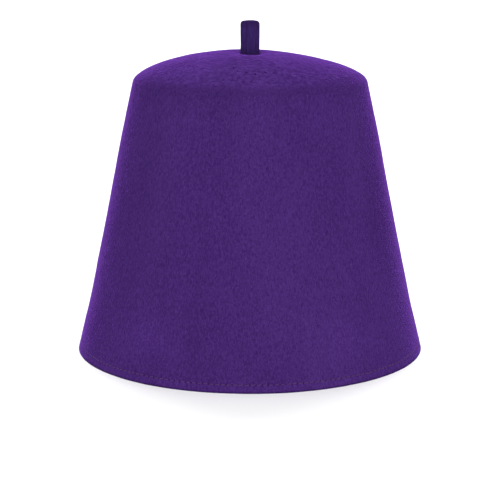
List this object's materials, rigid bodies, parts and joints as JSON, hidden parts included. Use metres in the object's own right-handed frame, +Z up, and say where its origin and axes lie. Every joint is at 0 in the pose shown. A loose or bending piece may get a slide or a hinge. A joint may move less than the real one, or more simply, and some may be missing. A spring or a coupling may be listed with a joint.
{
  "type": "fez hat",
  "caption": "Tapered hat of thick felt with a gently domed tip and a short felt stem on top, hollow and open below for the head.",
  "frame": {"origin": "centre of the rim's flat resting face", "axes": "+Z up along the hat's axis towards the stem, -Y towards the viewer of the picture, +X to the viewer's right"},
  "size_m": [0.186, 0.186, 0.1773],
  "materials": {
    "crown_felt": "purple wool felt with a short brushed nap",
    "stem_felt": "dark purple rolled wool felt",
    "hem_thread": "purple sewing thread"
  },
  "bodies": {
    "root": {"crown": "crown_felt", "stem": "stem_felt"}
  },
  "joints": []
}
